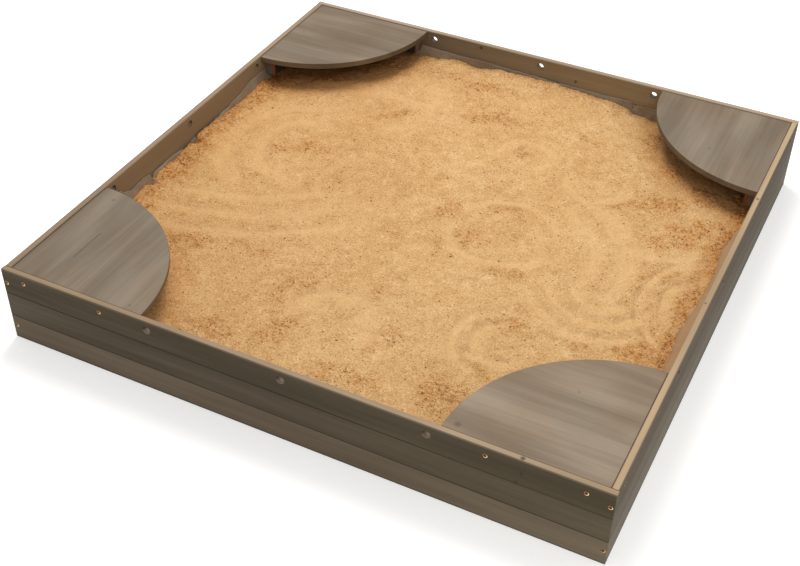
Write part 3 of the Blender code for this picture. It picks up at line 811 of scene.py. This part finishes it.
def sand_fields():
    """The sand's grid: x, y, its height, how stirred and swept it is, and its painted shade by the back
    seats and painted warm shade by the front left one.
    """
    half = SAND_BOX[1].x
    ticks = np.linspace(-half, half, SAND_CELLS + 1)
    x, y = np.meshgrid(ticks, ticks)
    height = cad_sand_top(len(ticks))
    relief, swept = stroke_relief(x, y)
    # The patches' outlines wander, so their coordinates are pushed about by noise.
    push_x = OUTLINE_PUSH * fractal(x, y, OUTLINE_SPACING, 4, 11, 0.6)
    push_y = OUTLINE_PUSH * fractal(x, y, OUTLINE_SPACING, 4, 17, 0.6)
    stirred = np.zeros_like(x)
    for cx, cy, length, width, turn in STIRRED:
        cos, sin = math.cos(math.radians(turn)), math.sin(math.radians(turn))
        dx, dy = x + push_x - cx, y + push_y - cy
        run, side = (dx * cos + dy * sin) / length, (dy * cos - dx * sin) / width
        stirred = np.maximum(stirred, smooth_step(np.hypot(run, side), 1.45, 0.35))
    ragged = smooth_step(fractal(x, y, 0.030, 4, 29, 0.7), -0.75, 0.45)
    stray = smooth_step(fractal(x + push_x, y + push_y, 0.10, 4, 23, 0.6), 0.30, 1.1)
    stirred = np.maximum(stirred * (0.35 + 0.35 * ragged), 0.4 * stray) * (1 - 0.7 * swept)
    stirred = np.clip(stirred, 0, 1)
    # It is rough along the side walls, and less so at the front and the back.
    sides = np.maximum(smooth_step(INNER + x, 0.11, 0.01), smooth_step(INNER - x, 0.075, 0.01))
    ends = 0.5 * smooth_step(INNER - np.abs(y), 0.06, 0.01)
    stirred = np.maximum(stirred, (0.35 + 0.6 * ragged) * np.maximum(sides, ends))
    height += relief
    height += SWELL_HEIGHT * fractal(x, y, SWELL_SPACING, 3, 31)
    height += RIPPLE_HEIGHT * fractal(x, y, RIPPLE_SPACING, 3, 41)
    crumbs = fractal(x, y, CRUMB_SPACING, 3, 51, 0.65)
    height += (SMOOTH_CRUMB_HEIGHT + CRUMB_HEIGHT * stirred) * crumbs
    clods = smooth_step(fractal(x, y, CLOD_SPACING, 2, 61), 0.35, 0.95)
    height += CLOD_HEIGHT * clods * stirred
    # Along the left, back and right walls the edge follows a line of its own.
    for line, distance, along in (
        (LEFT_SHORE, x + half, y),
        (BACK_SHORE, half - y, x),
        (RIGHT_SHORE, half - x, y),
    ):
        pull = np.exp(-((distance / SHORE_FALL) ** 2))
        crumble = 0.0016 * fractal(along, distance * 0 + 0.4, 0.018, 3, 81)
        height = height * (1 - pull) + (profile(along, line) + crumble) * pull
    # Painted shade darkens the sand by the back seats, and a painted warm shade tints it by the front
    # left one.
    reach = np.hypot(INNER - np.abs(x), INNER - np.abs(y)) + 0.012 * fractal(x, y, 0.06, 3, 91)
    near = smooth_step(reach, SEAT_REACH + SEAT_SHADE, SEAT_REACH)
    damp = near * smooth_step(y, -0.50, 0.20)
    warm = near * smooth_step(y, 0.20, -0.50) * smooth_step(x, 0.20, -0.20)
    return x, y, height, {"stirred": stirred, "swept": swept, "damp": damp, "warm": warm}


def drawn_in(x, y):
    """The grid with its edges moved in to where the liner stands."""
    half = SAND_BOX[1].x
    moved_x, moved_y = x.copy(), y.copy()
    for wall, sign, across, along in (
        ("left", 1, x, y), ("right", -1, x, y), ("front", 1, y, x), ("back", -1, y, x),
    ):
        near = half + sign * across
        inset = liner_inset(wall, along)
        shift = sign * (inset - np.minimum(0.4 * inset, 0.004)) * np.exp(-near / SAND_EDGE_FALL)
        if across is x:
            moved_x += shift
        else:
            moved_y += shift
    return moved_x, moved_y


def build_sand():
    """A closed body: the raked top, sides drawn down inside the liner, and a flat base."""
    x, y, height, fields = sand_fields()
    x, y = drawn_in(x, y)
    height = np.minimum(height, SAND_CEILING)
    count = SAND_CELLS + 1
    index = np.arange(count * count).reshape(count, count)
    rim = np.concatenate([index[0, :-1], index[:-1, -1], index[-1, :0:-1], index[:0:-1, 0]])
    top = np.stack([x.ravel(), y.ravel(), height.ravel()], 1)
    foot = top[rim].copy()
    foot[:, 2] = SAND_BOX[0].z
    points = np.concatenate([top, foot])
    quads = np.stack([index[:-1, :-1], index[:-1, 1:], index[1:, 1:], index[1:, :-1]], -1)
    faces = quads.reshape(-1, 4)
    low = len(top) + np.arange(len(rim))
    skirt = np.stack([rim, low, np.roll(low, -1), np.roll(rim, -1)], 1)
    mesh = bpy.data.meshes.new("sand_surface")
    polygons = faces.tolist() + skirt.tolist() + [low[::-1].tolist()]
    mesh.from_pydata(points.tolist(), [], polygons)
    for name, field in fields.items():
        values = np.concatenate([field.ravel(), np.zeros(len(foot))]).astype(np.float32)
        mesh.attributes.new(name, "FLOAT", "POINT").data.foreach_set("value", values)
    # The sides are faceted, so that they leave the top's shading alone.
    mesh.polygons.foreach_set("use_smooth", np.arange(len(polygons)) < len(faces))
    add_piece("sand_surface", mesh, sand_grains("dry_sand"), "sand_fill")


# Liner

LINER_RINGS = 34
LINER_FLOOR_RINGS = 14
LINER_STEP = 0.004
LINER_CORNER = 0.020
LINER_BEND_STEPS = 8
# The heights and spacings of its hem's ripples, its folds, its crinkles and its floor's waves
HEM_HEIGHT, HEM_SPACING = 0.0012, 0.020
FOLD_HEIGHT, FOLD_SPACING = 0.0042, 0.062
CRINKLE_HEIGHT, CRINKLE_SPACING = 0.0008, 0.011
WAVE_HEIGHT, WAVE_SPACING = 0.0009, 0.09
# How far apart in their noise the four sides start
SIDE_STEP = 2.5
# Each wall's liner hem and sand edge. The front wall's sand edge is like the right one's.
EDGES = {
    "front": (FRONT_HEM, RIGHT_SHORE),
    "right": (RIGHT_HEM, RIGHT_SHORE),
    "back": (BACK_HEM, BACK_SHORE),
    "left": (LEFT_HEM, LEFT_SHORE),
}


def add_piece(name, mesh, material, stands_for):
    """Adds a detailed piece to the box, in place of the plain node that it stands for."""
    mesh.materials.append(material)
    piece = bpy.data.objects.new(name, mesh)
    bpy.context.scene.collection.objects.link(piece)
    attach(piece, "root")
    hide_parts(stands_for)
    return piece


def liner_side(wall, turn):
    """A wall's part of the liner, as rows of points from the hem down to the floor."""
    half = LINER_BOX[1].x
    floor = LINER_BOX[0].z
    straight = half - LINER_CORNER
    steps = int(2 * straight / LINER_STEP)
    bends = np.linspace(0, math.pi / 2, LINER_BEND_STEPS, endpoint=False)
    bend_along = straight + LINER_CORNER * np.sin(bends[1:])
    bend_depth = -half + LINER_CORNER * (1 - np.cos(bends[1:]))
    along = np.concatenate([np.linspace(-straight, straight, steps), bend_along])
    depth = np.concatenate([np.full(steps, -half), bend_depth])
    hem_points, shore_points = EDGES[wall]
    # The edges are given towards +X and +Y, and the path runs the other way along two of the walls.
    place = np.clip(-along if wall in ("back", "left") else along, -LINE_END, LINE_END)
    run = along + SIDE_STEP * turn
    hem = profile(place, hem_points)
    hem = hem + HEM_HEIGHT * fractal(run, run * 0 + 0.2, HEM_SPACING, 3, 401)
    shore = profile(place, shore_points)
    inset = liner_inset(wall, place)
    share = np.linspace(1, 0, LINER_RINGS)[:, None]
    z = floor + (hem - floor) * share
    above = np.clip((z - shore) / np.maximum(hem - shore, 0.004), 0, 1)
    below = np.clip((z - floor) / (shore - floor), 0, 1)
    lean = (1 - above) ** 1.3 if wall == "right" else 1 - 0.8 * above
    stand = inset * below**3 * lean
    loose = smooth_step(z, shore - 0.03, shore + 0.006)
    # Sharp-edged folds lean along the wall, and flatten towards the hem.
    ridges = 1 - np.abs(fractal(run + 0.6 * z, z * 0.7, FOLD_SPACING, 2, 431))
    crease = FOLD_HEIGHT * np.clip(ridges - 0.35, 0, 1) ** 2
    crinkle = CRINKLE_HEIGHT * fractal(run, z, CRINKLE_SPACING, 2, 461)
    across = depth + np.maximum(stand + loose * (1 - 0.65 * above) * (crease + crinkle), 0.0004)
    cos, sin = math.cos(turn * math.pi / 2), math.sin(turn * math.pi / 2)
    return np.stack([along * cos - across * sin, along * sin + across * cos, z], -1)


def build_liner():
    """One fabric sheet: up from the floor, standing against the walls and creased at its hem."""
    walls = ("front", "right", "back", "left")
    sides = np.concatenate([liner_side(wall, turn) for turn, wall in enumerate(walls)], axis=1)
    # The floor is drawn in from the foot of the sides in smaller and smaller rings.
    foot = sides[-1]
    shares = np.linspace(1, 0, LINER_FLOOR_RINGS + 1)[1:-1, None]
    x, y = foot[:, 0] * shares, foot[:, 1] * shares
    lift = WAVE_HEIGHT * np.abs(fractal(x, y, WAVE_SPACING, 2, 501))
    rings = np.concatenate([sides, np.stack([x, y, LINER_BOX[0].z + lift], -1)])
    count = rings.shape[1]
    index = np.arange(rings.shape[0] * count).reshape(rings.shape[:2])
    around = np.roll(index, -1, axis=1)
    faces = np.stack([index[:-1], index[1:], around[1:], around[:-1]], -1).reshape(-1, 4)
    mesh = bpy.data.meshes.new("liner_sheet")
    mesh.from_pydata(rings.reshape(-1, 3).tolist(), [], faces.tolist() + [index[-1].tolist()])
    hem = np.zeros(rings.shape[:2], np.float32)
    hem[0] = 1.0
    mesh.attributes.new("hem", "FLOAT", "POINT").data.foreach_set("value", hem.ravel())
    mesh.shade_smooth()
    liner = add_piece("liner_sheet", mesh, liner_fabric("spun_fabric"), "liner")


# Scene


# Dark knots in the walls, by the grain's axis: x, y, z and radius.
WALL_KNOTS = {
    "X": (
        (-0.157, INNER, 0.162, 0.006),
        (0.092, INNER, 0.135, 0.005),
        (0.455, -0.611, WALL_TOP, 0.006),
        (0.457, -HALF, 0.142, 0.005),
        (0.449, -HALF, 0.118, 0.005),
    ),
    "Y": ((0.611, 0.277, WALL_TOP, 0.0045), (0.609, -0.096, WALL_TOP, 0.0030)),
}
# Each seat's grain axis, tint and marks: x, y and radius.
SEATS = {
    "seat_front_left": ("Y", (0.91, 0.845, 0.775), ((-0.564, -0.335, 0.0045), (-0.338, -0.59, 0.0035))),
    "seat_front_right": ("X", (1.09, 0.985, 0.87), ((0.482, -0.423, 0.003), (0.328, -0.588, 0.0085))),
    "seat_back_left": ("X", (0.89, 0.805, 0.72), ((-0.575, 0.460, 0.004),)),
    "seat_back_right": ("Y", (0.955, 0.88, 0.806), ((0.468, 0.418, 0.004),)),
}
# A fine crack along the grain of a seat: its x, and the y that it runs between.
CRACKS = {"seat_front_left": (-0.520, -0.524, -0.438)}
# The two axes across a screw, by where it is. The front walls' also serve for the back.
SCREW_AXES = {"front": (0, 2), "side": (1, 2), "seat": (0, 1)}


def dress_frame():
    """Gives each node of the frame its material."""
    walls, cleats = {}, {}
    for grain, knots in WALL_KNOTS.items():
        walls[grain] = wall_wood(f"stained_boards_{grain.lower()}", grain, knots)
        cleats[grain] = cleat_wood(f"cleats_{grain.lower()}", grain)
    screws = {place: brass(f"brass_{place}", *axes) for place, axes in SCREW_AXES.items()}
    for order, (name, node) in enumerate(sorted(nodes.items())):
        if "screw" in name:
            place = "seat" if name.startswith("seat") else "side" if "side" in name else "front"
            material = screws[place]
        elif name.startswith("seat"):
            grain, tint, marks = SEATS[name]
            seed = SEAT_SEED_STEP * order
            material = seat_wood(f"{name}_wood", grain, seed, tint, marks, CRACKS.get(name))
        elif name.startswith("cleat"):
            material = cleats["Y" if name.endswith("side") else "X"]
        elif "board" in name:
            material = walls["X" if name.startswith(("front", "back")) else "Y"]
        else:
            continue
        for slot in node.material_slots:
            slot.material = material


def add_camera():
    data = bpy.data.cameras.new("camera")
    data.lens = CAMERA_LENS
    camera = bpy.data.objects.new("camera", data)
    camera.location = CAMERA_PLACE
    camera.rotation_euler = Euler([math.radians(turn) for turn in CAMERA_TURN])
    bpy.context.scene.collection.objects.link(camera)
    bpy.context.scene.camera = camera


def add_area_light(name, place, size, power, colour):
    """A round soft light, aimed at the middle of the box."""
    data = bpy.data.lights.new(name, "AREA")
    data.shape = "DISK"
    data.size = size
    data.energy = power
    data.color = colour
    light = bpy.data.objects.new(name, data)
    light.location = place
    light.rotation_euler = (-Vector(place)).to_track_quat("-Z", "Y").to_euler()
    bpy.context.scene.collection.objects.link(light)


def add_studio():
    """A pale world, two soft lights and a plain floor."""
    scene = bpy.context.scene
    scene.view_settings.view_transform = "Standard"
    world = bpy.data.worlds.new("studio")
    world.use_nodes = True
    background = world.node_tree.nodes["Background"]
    background.inputs["Color"].default_value = (*WORLD_COLOUR, 1.0)
    background.inputs["Strength"].default_value = WORLD_STRENGTH
    scene.world = world
    for name, light in LIGHTS.items():
        add_area_light(name, *light)
    work = bmesh.new()
    bmesh.ops.create_grid(work, x_segments=1, y_segments=1, size=FLOOR_REACH)
    mesh = bpy.data.meshes.new("floor")
    work.to_mesh(mesh)
    work.free()
    floor = bpy.data.objects.new("floor", mesh)
    scene.collection.objects.link(floor)
    shader = Shader("studio_floor")
    faint = shader.noise(shader.place, 3.0, 2.0)
    shader.set(
        Base_Color=shader.stops(faint, (0.3, grey(0.88)), (0.7, grey(0.90))),
        Roughness=0.9,
        Emission_Color=grey(1.0),
        Emission_Strength=FLOOR_GLOW,
    )
    mesh.materials.append(shader.material)


add_camera()
dress_frame()
build_liner()
build_sand()
add_studio()
